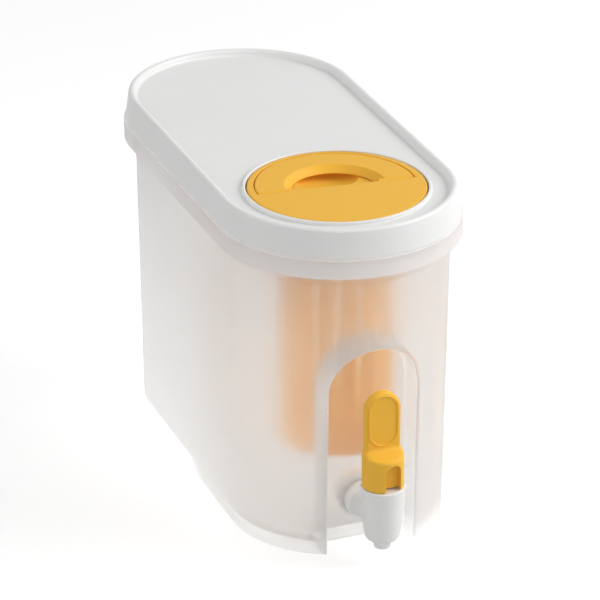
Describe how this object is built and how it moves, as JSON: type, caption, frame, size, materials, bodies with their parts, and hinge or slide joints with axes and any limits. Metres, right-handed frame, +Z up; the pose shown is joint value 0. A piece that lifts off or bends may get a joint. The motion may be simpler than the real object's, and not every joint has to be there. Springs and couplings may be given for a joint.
{
  "type": "drink dispenser",
  "caption": "Countertop and fridge drink dispenser: oblong frosted vessel with snap lid, capped fruit infuser and a push-lever tap in a front niche.",
  "frame": {"origin": "on the floor, under the middle of the whole object", "axes": "+Z up, +Y to the rear along the vessel, tap at -Y, +X to the right seen from the tap"},
  "size_m": [0.1414, 0.3088, 0.2043],
  "materials": {
    "frosted_polypropylene": "frosted, translucent",
    "white_polypropylene": "satin",
    "golden_plastic": "satin",
    "amber_plastic": "translucent",
    "silicone": "matte",
    "spring_steel": "bright"
  },
  "bodies": {
    "vessel": {"container": "frosted_polypropylene", "tap_body": "white_polypropylene", "tap_bonnet": "white_polypropylene", "tap_outer_washer": "silicone", "tap_inner_washer": "silicone", "tap_nut": "white_polypropylene", "return_spring": "spring_steel"},
    "lid": {"lid": "white_polypropylene", "lid_gasket": "silicone"},
    "infuser": {"infuser_basket": "amber_plastic"},
    "cap": {"cap": "golden_plastic", "cap_gasket": "silicone"},
    "handle": {"cap_handle": "golden_plastic"},
    "stem": {"valve_stem": "white_polypropylene", "valve_seal": "silicone"},
    "lever": {"tap_lever": "golden_plastic"}
  },
  "joints": [
    {"name": "lid_lift", "type": "slide", "parent": "vessel", "child": "lid", "axis": [0, 0, 1], "range_m": [0, 0.155]},
    {"name": "infuser_lift", "type": "slide", "parent": "lid", "child": "infuser", "axis": [0, 0, 1], "range_m": [0, 0.157]},
    {"name": "cap_lift", "type": "slide", "parent": "infuser", "child": "cap", "axis": [0, 0, 1], "range_m": [0, 0.025]},
    {"name": "handle_flip", "type": "hinge", "parent": "cap", "child": "handle", "pos_m": [0.00024, -0.06721, 0.19975], "axis": [0.9962, -0.0872, 0], "range_deg": [0, 90]},
    {"name": "stem_lift", "type": "slide", "parent": "vessel", "child": "stem", "axis": [0, 0, 1], "range_m": [0, 0.0043], "deforming": ["return_spring"]},
    {"name": "lever_tilt", "type": "hinge", "parent": "stem", "child": "lever", "pos_m": [0, -0.1415, 0.0581], "axis": [-1, 0, 0], "range_deg": [0, 22], "stiffness_Nm_per_rad": 0.06, "springref_deg": -20.63}
  ],
  "couplings": [
    {"joint": "stem_lift", "follows": "lever_tilt", "m_per_rad": 0.011}
  ]
}
